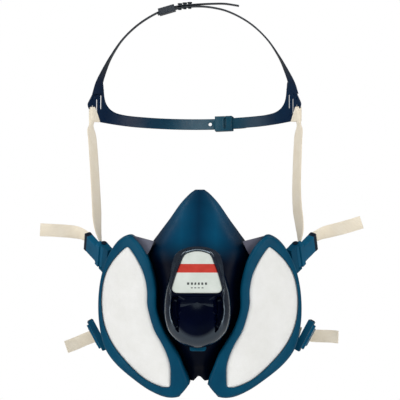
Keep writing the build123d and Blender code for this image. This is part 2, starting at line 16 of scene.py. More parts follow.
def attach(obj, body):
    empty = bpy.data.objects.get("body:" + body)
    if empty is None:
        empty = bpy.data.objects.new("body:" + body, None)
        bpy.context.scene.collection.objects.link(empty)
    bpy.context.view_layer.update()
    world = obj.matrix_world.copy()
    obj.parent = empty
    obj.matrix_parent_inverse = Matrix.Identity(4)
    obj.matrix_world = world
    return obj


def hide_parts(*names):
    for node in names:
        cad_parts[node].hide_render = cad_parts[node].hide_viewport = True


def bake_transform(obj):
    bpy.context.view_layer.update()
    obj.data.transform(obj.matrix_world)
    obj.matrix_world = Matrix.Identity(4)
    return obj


MM = 0.001
SIDES = (("left", 1), ("right", -1))

# ---- driving sizes of the moulded parts, in millimetres
PANEL_ARC = ((4, -58.6), (46, -46.5), (84, -13.5))   # the filter panels in plan, as (x, y)
PANEL_TILT = math.radians(8)
BEZEL_T = 4.0
FILTER_RECESS = 1.8
FILTER_T = 4.0
STRAP_W = 10.0
STRAP_T = 1.2
BAND_W = 9.0
BAND_T = 1.1
CRADLE_SHIFT = -7.0         # the loose cradle hangs this far to the wearer's right

HOUSING_OUTER = [(14.5, -80.3), (21, -81.4), (35.6, -77.2), (50.9, -67.6), (64.3, -57.2), (72.9, -46), (76.9, -31),
                 (78, -15.5), (76.7, 1.3), (72.9, 16.6), (67.2, 28.6), (60, 37.6), (53.2, 41.2)]
HOUSING_INNER = [(51.0, 41.2), (44.3, 35.3), (37.9, 25.5), (34.1, 15), (31.4, 0.8), (31.1, -15), (25.9, -30),
                 (19, -41.3), (14.6, -49), (11.6, -57), (8.6, -64), (6.8, -70.2), (9.6, -74.4), (13, -78.6)]
WINDOW_INNER = [(52.4, 32.6), (46.7, 24.2), (41, 12.8), (38.4, 0), (38.2, -12), (33.6, -29), (28, -39), (23.5, -48.5),
                (21, -58), (20.9, -72.6)]
WINDOW_OUTER = [(21.9, -73.4), (28.5, -73), (41.3, -67.4), (54.7, -56), (66.2, -42.6), (72.9, -28.5), (75.2, -14),
                (74.6, -1), (71.6, 11), (66, 20.6), (59.3, 28), (53.4, 32.8)]
EGG = [(0, 33), (10, 31.4), (17.3, 25.6), (21, 11), (23.8, 0), (24.9, -12), (24, -22), (20.6, -31), (12, -38.8),
       (0, -42)]
LABEL = [(0, 15.3), (5.2, 14.4), (9.6, 12), (12.5, 5), (15.2, -2.5), (17.6, -11), (18.2, -14.6), (16.6, -16.9),
         (13.5, -17.5), (0, -17.5)]
SHELL_SECTIONS = [
    (-69.5, 6.4, -31.5, -13), (-67, 7.6, -33, -13.4), (-61, 9.4, -37.5, -14.2), (-56, 11.2, -42, -15),
    (-49, 14.2, -46, -16), (-41, 18.6, -50, -17), (-30, 24.8, -54, -18.5), (-15, 29.7, -57, -20),
    (1, 30.0, -58, -21), (15, 32.7, -58, -22), (25, 35.8, -56.5, -21.5), (33, 36.6, -53.5, -21),
    (43, 30, -47.5, -19), (53, 22.7, -39.8, -17), (64.5, 14.8, -30.5, -15.5), (72, 8, -23.5, -14.5),
    (75.5, 3.5, -19.5, -14),
]   # the shell at each height, as (z, half width, front y, back y)

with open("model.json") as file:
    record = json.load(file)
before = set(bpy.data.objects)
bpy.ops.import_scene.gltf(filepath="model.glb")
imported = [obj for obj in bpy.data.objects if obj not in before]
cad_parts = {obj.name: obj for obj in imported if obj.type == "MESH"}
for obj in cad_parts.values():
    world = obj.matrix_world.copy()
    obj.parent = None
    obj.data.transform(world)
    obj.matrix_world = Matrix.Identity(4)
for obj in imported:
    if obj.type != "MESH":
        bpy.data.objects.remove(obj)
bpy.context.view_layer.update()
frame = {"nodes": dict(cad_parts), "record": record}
scene = bpy.context.scene


# ---- points
def smooth_line(points, count, closed=False):
    """A Catmull-Rom curve through points, sampled evenly along its length."""
    p = np.array(points, float)
    if closed:
        p = np.vstack([p[-1], p, p[0], p[1]])
    else:
        p = np.vstack([2 * p[0] - p[1], p, 2 * p[-1] - p[-2]])
    t = np.linspace(0, 1, 24, endpoint=False)[:, None]
    runs = []
    for a, b, c, d in zip(p[:-3], p[1:-2], p[2:-1], p[3:]):
        runs.append(0.5 * (2 * b + (c - a) * t + (2 * a - 5 * b + 4 * c - d) * t**2 + (3 * b - a - 3 * c + d) * t**3))
    fine = np.vstack(runs + [p[-2][None]])
    length = np.concatenate([[0], np.cumsum(np.linalg.norm(np.diff(fine, axis=0), axis=1))])
    at = np.linspace(0, length[-1], count, endpoint=not closed)
    return np.stack([np.interp(at, length, fine[:, i]) for i in range(fine.shape[1])], axis=1)


def oblong(half_a, half_b, power, count):
    """A rounded oblong round the origin; a lower power makes squarer corners."""
    turn = np.linspace(0, 2 * math.pi, count, endpoint=False)
    return [half * np.sign(part) * np.abs(part)**power for half, part in ((half_a, np.cos(turn)), (half_b, np.sin(turn)))]


def both_sides(half):
    """Down the left side, then back up the right side."""
    return half + [(-x, z) for x, z in reversed(half[1:-1])]


def arc_centre(a, b, c):
    """Centre and radius of the circle through three points."""
    (ax, ay), (bx, by), (cx, cy) = a, b, c
    d = 2 * (ax * (by - cy) + bx * (cy - ay) + cx * (ay - by))
    ux = ((ax**2 + ay**2) * (by - cy) + (bx**2 + by**2) * (cy - ay) + (cx**2 + cy**2) * (ay - by)) / d
    uy = ((ax**2 + ay**2) * (cx - bx) + (bx**2 + by**2) * (ax - cx) + (cx**2 + cy**2) * (bx - ax)) / d
    return ux, uy, math.hypot(ax - ux, ay - uy)


ARC_X, ARC_Y, ARC_R = arc_centre(*PANEL_ARC)


def on_panel(x, z, depth):
    """The point of the leaning filter panel at (x, z) seen from the front, moved back by depth."""
    plan_y = ARC_Y - np.sqrt(ARC_R**2 - (x - ARC_X)**2) + depth
    plan_z = (z - plan_y * math.sin(PANEL_TILT)) / math.cos(PANEL_TILT)
    return np.stack([x, plan_y * math.cos(PANEL_TILT) - plan_z * math.sin(PANEL_TILT), z], axis=-1)


# ---- meshes
def add_mesh(name, rows, material, body, closed_rows=False, caps=True, side=1, uv=None):
    """A piece made of rings of points in millimetres. side=-1 mirrors it to the wearer's right.

    closed_rows joins the last ring to the first; otherwise caps fills the two end rings.
    """
    rows = np.array(rows, float)
    count, width = rows.shape[:2]
    vertices = rows.reshape(-1, 3) * MM
    vertices[:, 0] *= side
    faces = []
    for i in range(count if closed_rows else count - 1):
        for j in range(width):
            a, b = i * width + j, i * width + (j + 1) % width
            c, d = ((i + 1) % count) * width + (j + 1) % width, ((i + 1) % count) * width + j
            faces.append((a, b, c, d))
    if caps and not closed_rows:
        faces.append(tuple(reversed(range(width))))
        faces.append(tuple((count - 1) * width + j for j in range(width)))
    mesh = bpy.data.meshes.new(name)
    mesh.from_pydata(vertices.tolist(), [], faces)
    if uv is not None:
        map_weave(mesh, uv)
    return add_object(name, mesh, material, body)


def map_weave(mesh, maps):
    """Lays the webbing's weave along a mesh: maps holds (across, along) in millimetres for each point."""
    layer = mesh.uv_layers.new(name="weave")
    flat = np.array(maps, float).reshape(-1, 2)
    for loop in mesh.loops:
        layer.data[loop.index].uv = flat[loop.vertex_index]


def add_object(name, mesh, material, body):
    tidy_mesh(mesh)
    piece = bpy.data.objects.new(name, mesh)
    scene.collection.objects.link(piece)
    mesh.materials.clear()
    mesh.materials.append(material)
    if body:
        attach(piece, body)
    return piece


SHARP_EDGE = math.radians(38)


def tidy_mesh(mesh):
    """Merges doubles, points every face outwards and shades it smooth but for its sharp edges."""
    work = bmesh.new()
    work.from_mesh(mesh)
    bmesh.ops.remove_doubles(work, verts=work.verts, dist=2e-6)
    bmesh.ops.dissolve_degenerate(work, edges=work.edges, dist=1e-6)
    bmesh.ops.recalc_face_normals(work, faces=work.faces)
    for face in work.faces:
        face.smooth = True
    for edge in work.edges:
        edge.smooth = len(edge.link_faces) != 2 or edge.calc_face_angle(0) < SHARP_EDGE
    work.to_mesh(mesh)
    work.free()


def cut(piece, low, high):
    """Cuts a box given by two corners in millimetres out of a piece."""
    cutter_mesh = bpy.data.meshes.new("cutter")
    work = bmesh.new()
    bmesh.ops.create_cube(work, size=1)
    for v in work.verts:
        for i in range(3):
            v.co[i] = (low[i] if v.co[i] < 0 else high[i]) * MM
    work.to_mesh(cutter_mesh)
    work.free()
    cut_by(piece, cutter_mesh)


def cut_by(piece, cutter_mesh):
    cutter = bpy.data.objects.new("cutter", cutter_mesh)
    scene.collection.objects.link(cutter)
    boolean = piece.modifiers.new("cut", "BOOLEAN")
    boolean.object = cutter
    boolean.operation = "DIFFERENCE"
    boolean.solver = "EXACT"
    apply_modifiers(piece)
    bpy.data.objects.remove(cutter)


def apply_modifiers(piece):
    graph = bpy.context.evaluated_depsgraph_get()
    mesh = bpy.data.meshes.new_from_object(piece.evaluated_get(graph))
    piece.modifiers.clear()
    old = piece.data
    piece.data = mesh
    bpy.data.meshes.remove(old)
    tidy_mesh(mesh)


def soft_copy(node, material, voxel=0.35, smooth=4):
    """A CAD piece with the rounded edges of a moulding: remeshed finely, then relaxed."""
    source = frame["nodes"][node]
    piece = bpy.data.objects.new(f"{node}_moulded", source.data.copy())
    scene.collection.objects.link(piece)
    piece.data.materials.clear()
    piece.data.materials.append(material)
    weld = bmesh.new()
    weld.from_mesh(piece.data)
    bmesh.ops.remove_doubles(weld, verts=weld.verts, dist=1e-6)
    weld.to_mesh(piece.data)
    weld.free()
    remesh = piece.modifiers.new("remesh", "REMESH")
    remesh.mode = "VOXEL"
    remesh.voxel_size = voxel * MM
    remesh.adaptivity = 0.0
    relax = piece.modifiers.new("relax", "SMOOTH")
    relax.factor = 0.5
    relax.iterations = smooth
    apply_modifiers(piece)
    piece.data.materials.clear()
    piece.data.materials.append(material)
    for polygon in piece.data.polygons:
        polygon.use_smooth = True
    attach(piece, body_of_node(node))
    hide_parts(node)


def body_of_node(node):
    for body, nodes in frame["record"]["behaviour"]["bodies"].items():
        if node in nodes:
            return body
    raise KeyError(node)


# ---- materials
def srgb(red, green, blue):
    """An 8-bit sRGB colour as linear RGBA."""
    out = []
    for value in (red, green, blue):
        v = value / 255
        out.append(v / 12.92 if v <= 0.04045 else ((v + 0.055) / 1.055)**2.4)
    return (*out, 1.0)


class Shader:
    """A material with one principled shader and short ways to add textures to it."""

    def __init__(self, name, **inputs):
        self.material = bpy.data.materials.new(name)
        self.material.use_nodes = True
        self.tree = self.material.node_tree
        self.main = self.tree.nodes["Principled BSDF"]
        for key, value in inputs.items():
            self.main.inputs[key.replace("_", " ")].default_value = value
        self.place = self.node("ShaderNodeTexCoord").outputs["Object"]
        self.bumps = []

    def node(self, kind, **values):
        made = self.tree.nodes.new(kind)
        for key, value in values.items():
            if hasattr(made, key):
                setattr(made, key, value)
            else:
                made.inputs[key.replace("_", " ")].default_value = value
        return made

    def link(self, out, into):
        self.tree.links.new(out, into)

    def noise(self, scale, detail=4.0, roughness=0.55, stretch=None):
        texture = self.node("ShaderNodeTexNoise", Scale=scale, Detail=detail, Roughness=roughness)
        if stretch:
            mapping = self.node("ShaderNodeMapping")
            mapping.inputs["Scale"].default_value = stretch
            self.link(self.place, mapping.inputs["Vector"])
            self.link(mapping.outputs[0], texture.inputs["Vector"])
        else:
            self.link(self.place, texture.inputs["Vector"])
        return texture.outputs["Fac"]

    def ramp(self, factor, stops):
        ramp = self.node("ShaderNodeValToRGB")
        elements = ramp.color_ramp.elements
        while len(elements) < len(stops):
            elements.new(0.5)
        for element, (position, colour) in zip(elements, stops):
            element.position = position
            element.color = colour
        self.link(factor, ramp.inputs["Fac"])
        return ramp.outputs["Color"]

    def drift(self, texture, dark, light, low=0.32):
        """A texture's slow drift between two colours."""
        return self.ramp(texture, [(low, dark), (1 - low, light)])

    def spread(self, factor, low, high):
        """Maps a 0 to 1 texture to low..high."""
        ranger = self.node("ShaderNodeMapRange")
        ranger.inputs["From Min"].default_value = 0.3
        ranger.inputs["From Max"].default_value = 0.7
        ranger.inputs["To Min"].default_value = low
        ranger.inputs["To Max"].default_value = high
        self.link(factor, ranger.inputs["Value"])
        return ranger.outputs["Result"]

    def between(self, value, low, high):
        """1 where value lies between low and high, else 0."""
        tests = []
        for operation, limit in (("GREATER_THAN", low), ("LESS_THAN", high)):
            test = self.node("ShaderNodeMath", operation=operation)
            self.link(value, test.inputs[0])
            test.inputs[1].default_value = limit
            tests.append(test.outputs[0])
        return self.product(*tests)

    def product(self, *factors):
        result = factors[0]
        for factor in factors[1:]:
            times = self.node("ShaderNodeMath", operation="MULTIPLY")
            self.link(result, times.inputs[0])
            self.link(factor, times.inputs[1])
            result = times.outputs[0]
        return result

    def mix(self, first, second, factor, blend="MIX"):
        mix = self.node("ShaderNodeMix", data_type="RGBA", blend_type=blend)
        if factor is None:
            mix.inputs[0].default_value = 1.0
        else:
            self.link(factor, mix.inputs[0])
        for colour, socket in ((first, mix.inputs[6]), (second, mix.inputs[7])):
            if isinstance(colour, tuple):
                socket.default_value = colour
            else:
                self.link(colour, socket)
        return mix.outputs[2]

    def axes(self):
        """The object's own X, Y and Z as three values."""
        split = self.node("ShaderNodeSeparateXYZ")
        self.link(self.place, split.inputs[0])
        return split.outputs

    def grade(self, value, low, high, bottom=0.0, top=1.0):
        """Eases from bottom to top as value goes from low to high."""
        ranger = self.node("ShaderNodeMapRange", interpolation_type="SMOOTHSTEP")
        for key, number in (("From Min", low), ("From Max", high), ("To Min", bottom), ("To Max", top)):
            ranger.inputs[key].default_value = number
        self.link(value, ranger.inputs["Value"])
        return ranger.outputs["Result"]

    def sideways(self):
        """The distance from the middle plane."""
        size = self.node("ShaderNodeMath", operation="ABSOLUTE")
        self.link(self.axes()["X"], size.inputs[0])
        return size.outputs[0]

    def finish(self, rough):
        """Uneven gloss, a fine moulded grain and a faint unevenness below it."""
        self.link(self.spread(self.noise(160, 5), *rough), self.main.inputs["Roughness"])
        self.bump(self.noise(2600, 2), 0.00003)
        self.bump(self.noise(90, 2), 0.00012, 0.5)

    def bump(self, height, distance, strength=1.0):
        bump = self.node("ShaderNodeBump", Strength=strength, Distance=distance)
        self.link(height, bump.inputs["Height"])
        if self.bumps:
            self.link(self.bumps[-1].outputs["Normal"], bump.inputs["Normal"])
        self.bumps.append(bump)
        self.link(bump.outputs["Normal"], self.main.inputs["Normal"])


def moulded_plastic(name, light, dark, rough=(0.32, 0.44), specular=0.15):
    """Satin plastic with a slow drift of colour."""
    shader = Shader(name)
    shader.main.inputs["Specular IOR Level"].default_value = specular
    shader.link(shader.drift(shader.noise(38, 3), dark, light), shader.main.inputs["Base Color"])
    shader.finish(rough)
    return shader.material


def cradle_plastic():
    """Blue band with light painted into its colour: teal at the back of the head is a painted highlight, navy at the
    corners is painted shade, and the greyish near-black over the crown is a painted reflection.
    """
    shader = Shader("cradle_plastic", Coat_Weight=0.06, Coat_Roughness=0.2)
    shader.main.inputs["Specular IOR Level"].default_value = 0.15
    texture = shader.noise(30, 3)
    # painted light: the teal middle is a painted highlight and the navy corners are painted shade, blended by distance
    # from the middle plane
    middle = shader.drift(texture, srgb(4, 58, 80), srgb(14, 74, 94))
    corner = shader.drift(texture, srgb(2, 22, 50), srgb(3, 34, 62))
    # painted reflection: a greyish near-black over the crown arms stands in for their sheen when seen edge-on
    crown = shader.drift(texture, srgb(20, 28, 38), srgb(34, 44, 54))
    band = shader.mix(middle, corner, shader.grade(shader.sideways(), 0.01, 0.068))
    height = shader.grade(shader.axes()["Z"], 0.162, 0.182)
    shader.link(shader.mix(band, crown, height), shader.main.inputs["Base Color"])
    shader.finish((0.24, 0.36))
    return shader.material


def cover_gloss():
    """Near-black gloss, shiniest on the raised rim round the exhalation cover."""
    shader = Shader("cover_gloss")
    shader.main.inputs["Specular Tint"].default_value = (0.7, 0.88, 1.0, 1)
    oval = shader.node("ShaderNodeMapping", vector_type="POINT")
    oval.inputs["Scale"].default_value = (1 / 0.0249, 0.0, 1 / 0.0335)
    oval.inputs["Location"].default_value = (0.0, 0.0, 0.18)
    shader.link(shader.place, oval.inputs["Vector"])
    reach = shader.node("ShaderNodeVectorMath", operation="LENGTH")
    shader.link(oval.outputs["Vector"], reach.inputs[0])
    rim = shader.grade(reach.outputs["Value"], 0.74, 0.86, 0.06, 1.0)
    shader.link(rim, shader.main.inputs["Specular IOR Level"])
    colour = shader.drift(shader.noise(38, 3), srgb(1, 3, 18), srgb(2, 6, 28))
    shader.link(colour, shader.main.inputs["Base Color"])
    shader.link(shader.spread(shader.noise(160, 5), 0.12, 0.2), shader.main.inputs["Roughness"])
    shader.bump(shader.noise(2600, 2), 0.000006)
    return shader.material


def shell_elastomer():
    """Teal over the nose with painted light: painted highlights down each side of it, painted shade in its middle and
    at its edges, and painted shade deepening to navy in the recessed middle and the chin.
    """
    shader = Shader("shell_elastomer")
    shader.main.inputs["Specular IOR Level"].default_value = 0.06
    across = shader.node("ShaderNodeMapRange")
    across.inputs["From Max"].default_value = 0.036
    shader.link(shader.sideways(), across.inputs["Value"])
    texture = shader.noise(38, 3)
    # painted light across the nose: the bright bands down each side are painted highlights, the darker middle and
    # edges are painted shade
    sides = shader.ramp(across.outputs["Result"], [(0.0, srgb(2, 46, 74)), (0.36, srgb(3, 72, 104)),
                                                   (0.62, srgb(2, 56, 86)), (0.95, srgb(1, 24, 48))])
    cloud = shader.drift(texture, srgb(232, 232, 232), srgb(255, 255, 255))
    nose = shader.mix(sides, cloud, None, "MULTIPLY")
    # painted shade: near-black navy for the deep valley and the chin below the nose
    middle = shader.drift(texture, srgb(1, 5, 20), srgb(2, 9, 28))
    height = shader.grade(shader.axes()["Z"], 0.018, 0.040)
    shader.link(shader.mix(middle, nose, height), shader.main.inputs["Base Color"])
    shader.finish((0.36, 0.46))
    return shader.material


def filter_fleece():
    """Non-woven fleece: white felted fibres with faint clouds and a lightly dimpled face."""
    shader = Shader("filter_fleece", Roughness=0.95, Sheen_Weight=0.25, Sheen_Roughness=0.6)
    shader.main.inputs["Specular IOR Level"].default_value = 0.2
    clouds = shader.ramp(shader.noise(55, 6, 0.65), [(0.3, srgb(234, 234, 230)), (0.72, srgb(243, 243, 241))])
    shader.link(clouds, shader.main.inputs["Base Color"])
    shader.bump(shader.noise(1500, 6, 0.75, (1, 1, 2.6)), 0.00016)
    shader.bump(shader.noise(420, 3), 0.0003, 0.6)
    return shader.material


def webbing():
    """Woven elastic: rubber cords lengthways with a cross weave over them. The weave map is in millimetres."""
    shader = Shader("elastic_webbing", Roughness=0.88, Sheen_Weight=0.3, Sheen_Roughness=0.5)
    shader.main.inputs["Specular IOR Level"].default_value = 0.25
    shader.place = shader.node("ShaderNodeUVMap", uv_map="weave").outputs["UV"]
    heights = []
    for direction, pitch in (("X", 1.0), ("Y", 0.75)):
        wave = shader.node("ShaderNodeTexWave", wave_type="BANDS", bands_direction=direction)
        wave.inputs["Scale"].default_value = 1 / (pitch * 3.183)
        wave.inputs["Distortion"].default_value = 0.35
        wave.inputs["Detail"].default_value = 1.0
        shader.link(shader.place, wave.inputs["Vector"])
        heights.append(wave.outputs["Fac"])
    weave = shader.product(*heights)
    thread = shader.ramp(weave, [(0.0, srgb(240, 230, 210)), (0.45, srgb(253, 246, 233))])
    drift = shader.drift(shader.noise(0.06, 3), srgb(250, 246, 238), srgb(255, 254, 252), 0.3)
    shader.link(shader.mix(thread, drift, None, "MULTIPLY"), shader.main.inputs["Base Color"])
    shader.bump(weave, 0.00014, 0.8)
    shader.bump(shader.noise(6, 4), 0.00008, 0.7)
    return shader.material


def label_print():
    """A printed white panel: one plain red stripe and two broken grey lines, in slightly uneven ink."""
    shader = Shader("label_print", Roughness=0.45)
    shader.main.inputs["Specular IOR Level"].default_value = 0.15
    axes = shader.axes()
    white = shader.drift(shader.noise(120, 3), srgb(206, 214, 206), srgb(216, 222, 216), 0.3)
    red = shader.drift(shader.noise(200, 4), srgb(186, 52, 40), srgb(198, 62, 50), 0.3)
    dashes = shader.node("ShaderNodeTexWave", wave_type="BANDS", bands_direction="X", Scale=120.0, Distortion=3.0)
    shader.link(shader.place, dashes.inputs["Vector"])
    stripe = shader.between(axes["Z"], 0.0141, 0.0204)
    colour = shader.mix(white, red, stripe)
    for low, high, reach in ((0.0053, 0.0070, 0.0085), (0.0028, 0.0035, 0.0052)):
        line = shader.product(shader.between(axes["Z"], low, high),
                              shader.between(axes["X"], -reach, reach),
                              shader.between(dashes.outputs["Fac"], 0.42, 2.0))
        colour = shader.mix(colour, srgb(70, 74, 74), line)
    shader.link(colour, shader.main.inputs["Base Color"])
    shader.bump(shader.noise(900, 2), 0.00002)
    return shader.material


def charcoal():
    """Packed granules of activated carbon."""
    shader = Shader("charcoal", Roughness=0.85)
    cells = shader.node("ShaderNodeTexVoronoi", Scale=900.0)
    shader.link(shader.place, cells.inputs["Vector"])
    tone = shader.ramp(cells.outputs["Distance"], [(0.0, srgb(46, 46, 48)), (0.7, srgb(14, 14, 15))])
    shader.link(tone, shader.main.inputs["Base Color"])
    shader.bump(cells.outputs["Distance"], 0.0006)
    return shader.material


def silicone(name, light, dark):
    """Thin soft rubber: matt, a little cloudy, very finely pebbled."""
    shader = Shader(name)
    shader.main.inputs["Specular IOR Level"].default_value = 0.2
    shader.link(shader.drift(shader.noise(70, 4), dark, light, 0.3), shader.main.inputs["Base Color"])
    shader.link(shader.spread(shader.noise(220, 4), 0.5, 0.68), shader.main.inputs["Roughness"])
    shader.bump(shader.noise(1800, 3), 0.00005)
    return shader.material


SHELL = shell_elastomer()
HOUSING = moulded_plastic("housing_plastic", srgb(2, 74, 102), srgb(1, 62, 90), (0.34, 0.44), specular=0.08)
COVER = cover_gloss()
BUCKLE = moulded_plastic("buckle_plastic", srgb(3, 88, 122), srgb(2, 76, 106), (0.30, 0.40), specular=0.14)
# DARK also colours the grip bars on the upper levers, where it is painted shade
DARK = moulded_plastic("dark_plastic", srgb(4, 24, 42), srgb(3, 16, 32), (0.3, 0.42), specular=0.2)
CRADLE = cradle_plastic()
WEB_GREY = moulded_plastic("web_grey", srgb(104, 106, 120), srgb(62, 58, 74), (0.3, 0.5), specular=0.2)
VALVE = moulded_plastic("valve_plastic", srgb(120, 128, 134), srgb(104, 112, 120), (0.4, 0.55))
SEAL = silicone("seal_elastomer", srgb(20, 66, 98), srgb(14, 52, 82))
FLAP = silicone("flap_silicone", srgb(214, 204, 184), srgb(200, 190, 168))
FLEECE = filter_fleece()
WEBBING = webbing()
LABEL_PRINT = label_print()
CHARCOAL = charcoal()

SLOT_MATERIALS = {
    "shell_teal": SHELL, "seal_rubber": SEAL, "housing_teal": HOUSING, "filter_white": FLEECE, "carbon": CHARCOAL,
    "web_grey": WEB_GREY, "valve_plastic": VALVE, "valve_rubber": FLAP, "cover_gloss": COVER,
    "label_white": LABEL_PRINT, "buckle_teal": BUCKLE, "pin_dark": DARK, "webbing": WEBBING, "cradle_blue": CRADLE,
}


def dress_cad_nodes():
    """Every CAD piece that stays gets its slot's finished material."""
    for entry in frame["record"]["subparts"]:
        piece = frame["nodes"][entry["node"]]
        for slot in piece.material_slots:
            slot.material = SLOT_MATERIALS[entry["material_slot"]]


# ---- filter housings
def paired_outlines(count=110):
    """Matching points on the housing's outline and the window's, down the inner side and up the outer side."""
    outer = np.vstack([smooth_line(HOUSING_INNER, count), smooth_line(HOUSING_OUTER, count)])
    inner = np.vstack([smooth_line(WINDOW_INNER, count), smooth_line(WINDOW_OUTER, count)])
    for _ in range(6):
        outer = 0.5 * outer + 0.25 * (np.roll(outer, 1, axis=0) + np.roll(outer, -1, axis=0))
        inner = 0.5 * inner + 0.25 * (np.roll(inner, 1, axis=0) + np.roll(inner, -1, axis=0))
    return outer, inner


def rim_profile(width):
    """A rounded rim as (distance from its outer edge, height above the panel), from back to back."""
    outer_r = min(2.2 + 0.3 * max(0.0, width - 6), 0.46 * width)
    inner_r = min(1.5, 0.4 * width)
    quarter = np.linspace(0, math.pi / 2, 7)
    crown = 0.5 * min(1.0, max(0.0, width - 5) / 5)
    points = [(0, -BEZEL_T)]
    points += [(outer_r * (1 - math.cos(a)), -outer_r * (1 - math.sin(a))) for a in quarter]
    points += [(outer_r + f * (width - outer_r - inner_r), -crown * (2 * f - 1)**2 * 0.3) for f in (0.25, 0.5, 0.75)]
    points += [(width - inner_r * (1 - math.sin(a)), -inner_r * (1 - math.cos(a)) - crown * 0.3) for a in quarter]
    points += [(width, -BEZEL_T)]
    return points


def bezel(name, side):
    outer, inner = paired_outlines()
    rows = []
    for o, i in zip(outer, inner):
        across = i - o
        width = np.linalg.norm(across)
        profile = np.array(rim_profile(width))
        flat = o + np.outer(profile[:, 0] / width, across)
        rows.append(on_panel(flat[:, 0], flat[:, 1], -profile[:, 1]))
    piece = add_mesh(f"{name}_filter_bezel_rim", rows, HOUSING, "facepiece", closed_rows=True,
                     side=side)
    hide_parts(f"{name}_filter_bezel")


def filter_pad(name, side):
    """The fleece: crowned, with soft rounded edges, across from the window's inner side to its outer side."""
    count = 110
    inner = smooth_line(WINDOW_INNER, count)
    outer = smooth_line(WINDOW_OUTER, count)[::-1]
    across = np.linspace(0, 1, 26)
    rows = []
    for i, (a, b) in enumerate(zip(inner, outer)):
        width = np.linalg.norm(b - a)
        end = min(i, count - 1 - i) * 1.1
        flat = a + np.outer(across, b - a)
        edge = np.minimum(np.minimum(across, 1 - across) * width, end)
        rise = 1.3 * np.sqrt(np.clip(1 - (1 - np.clip(edge / 3.0, 0, 1))**2, 0, 1)) + 0.9 * np.sin(across * math.pi)
        front = on_panel(flat[:, 0], flat[:, 1], FILTER_RECESS + 1.2 - rise)
        back = on_panel(flat[::-1, 0], flat[::-1, 1], np.full(len(across), FILTER_RECESS + FILTER_T))
        rows.append(np.vstack([front, back]))
    piece = add_mesh(f"{name}_filter_fleece", rows, FLEECE, "facepiece", side=side)
    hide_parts(f"{name}_particulate_filter")


# ---- front shell
def shell_outline(half, front, back, count=72):
    depth = back - front
    side = [(half, back), (0.985 * half, back - 0.42 * depth), (0.76 * half, back - 0.80 * depth),
            (0.40 * half, back - 0.965 * depth)]
    return smooth_line(side + [(0, front)] + [(-x, y) for x, y in reversed(side)], count)


def front_shell():
    levels = smooth_line(SHELL_SECTIONS, 120)
    rows = []
    for z, half, front, back in levels:
        half += 1.6 * (1 - ease(z, 24, 36))
        outside = shell_outline(half, front, back)
        wall = 2.5 if half > 5 else 0.45 * half
        inside = shell_outline(half - wall, front + wall, back)[::-1]
        ring = np.vstack([outside, inside])
        rows.append(np.column_stack([ring, np.full(len(ring), z)]))
    piece = add_mesh("nose_and_chin_shell", rows, SHELL, "facepiece")
    cut(piece, (-15.6, -75, -29.1), (15.6, -45, 9.1))
    notch = bpy.data.meshes.new("notch")
    tip = [(-2.0, -67.0), (-1.0, -66.0), (0, -65.7), (1.0, -66.0), (2.0, -67.0), (16.8, -84), (-16.8, -84)]
    vertices = [(x * MM, y * MM, z * MM) for y in (-70, 10) for x, z in tip]
    n = len(tip)
    faces = [tuple(range(n)), tuple(reversed(range(n, 2 * n)))]
    faces += [(i, i + n, (i + 1) % n + n, (i + 1) % n) for i in range(n)]
    notch.from_pydata(vertices, [], faces)
    tidy_mesh(notch)
    cut_by(piece, notch)
    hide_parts("facepiece_shell")


# ---- exhalation cover
LABEL_Y, LABEL_Z = -69.5, 15.5          # a point of the sloping label plane
LABEL_RUN, LABEL_RISE = 0.394, 0.919    # back and up, for each millimetre along it


def label_plane_y(z):
    """The sloping label panel's y at a height."""
    return LABEL_Y + LABEL_RUN / LABEL_RISE * (z - LABEL_Z)


def on_label(x, v, lift):
    """A point of the label's own plane, raised off it by lift."""
    return np.stack([x, LABEL_Y + LABEL_RUN * v - LABEL_RISE * lift,
                     LABEL_Z + LABEL_RISE * v + LABEL_RUN * lift], axis=-1)


def egg_cover():
    """The egg: rings shrinking to the middle, cut off flat for the label and hollowed beside the outlet."""
    outline = smooth_line(both_sides(EGG), 220, closed=True)
    depth_of = [(1.0, -50.0), (1.0, -57.0), (1.0, -62.5), (0.99, -66.5), (0.965, -69.8), (0.925, -72.3), (0.87, -74.4),
                (0.80, -76.1), (0.70, -77.5), (0.58, -78.4), (0.45, -79.0), (0.25, -79.3), (0.04, -79.4)]
    stations = smooth_line(depth_of, 84)
    rows = []
    for scale, y in stations:
        x = outline[:, 0] * scale
        z = (outline[:, 1] + 6) * scale - 6 - 1.5 * (1 - scale)
        slope = label_plane_y(z) + 1.2
        gap = np.clip((y - slope + 1.0) / 2.0, 0, 1)
        front = np.where(y < slope, slope, y)
        front = front + 0.25 * (1 - gap) * gap
        rows.append(np.column_stack([x, front + outlet_hollow(x, z), z]))
    piece = add_mesh("exhalation_cover_egg", rows, COVER, "facepiece", caps=False)
    close_front(piece)
    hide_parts("exhalation_cover")


def ease(value, low, high):
    t = np.clip((value - low) / (high - low), 0, 1)
    return t * t * (3 - 2 * t)


def outlet_hollow(x, z):
    """How far the cover is pushed in: two dark recesses, one each side of the outlet panel."""
    reach = 19.6 * np.sqrt(np.clip(1 - ((z + 12.5) / 24.0)**2, 0, 1))
    beside = ease(np.abs(x), 13.2, 14.2) * (1 - ease(np.abs(x), reach - 1.2, reach))
    height = ease(z, -36, -33) * (1 - ease(z, -4.2, -2.8))
    return 6.0 * beside * height


def close_front(piece):
    """Fills the last small hole in the middle of the front, and thickens the cover into a wall."""
    work = bmesh.new()
    work.from_mesh(piece.data)
    edges = [e for e in work.edges if e.is_boundary and all(v.co.y < -0.06 for v in e.verts)]
    bmesh.ops.holes_fill(work, edges=edges, sides=0)
    work.to_mesh(piece.data)
    work.free()
    wall = piece.modifiers.new("wall", "SOLIDIFY")
    wall.thickness = 1.6 * MM
    wall.offset = -1
    apply_modifiers(piece)


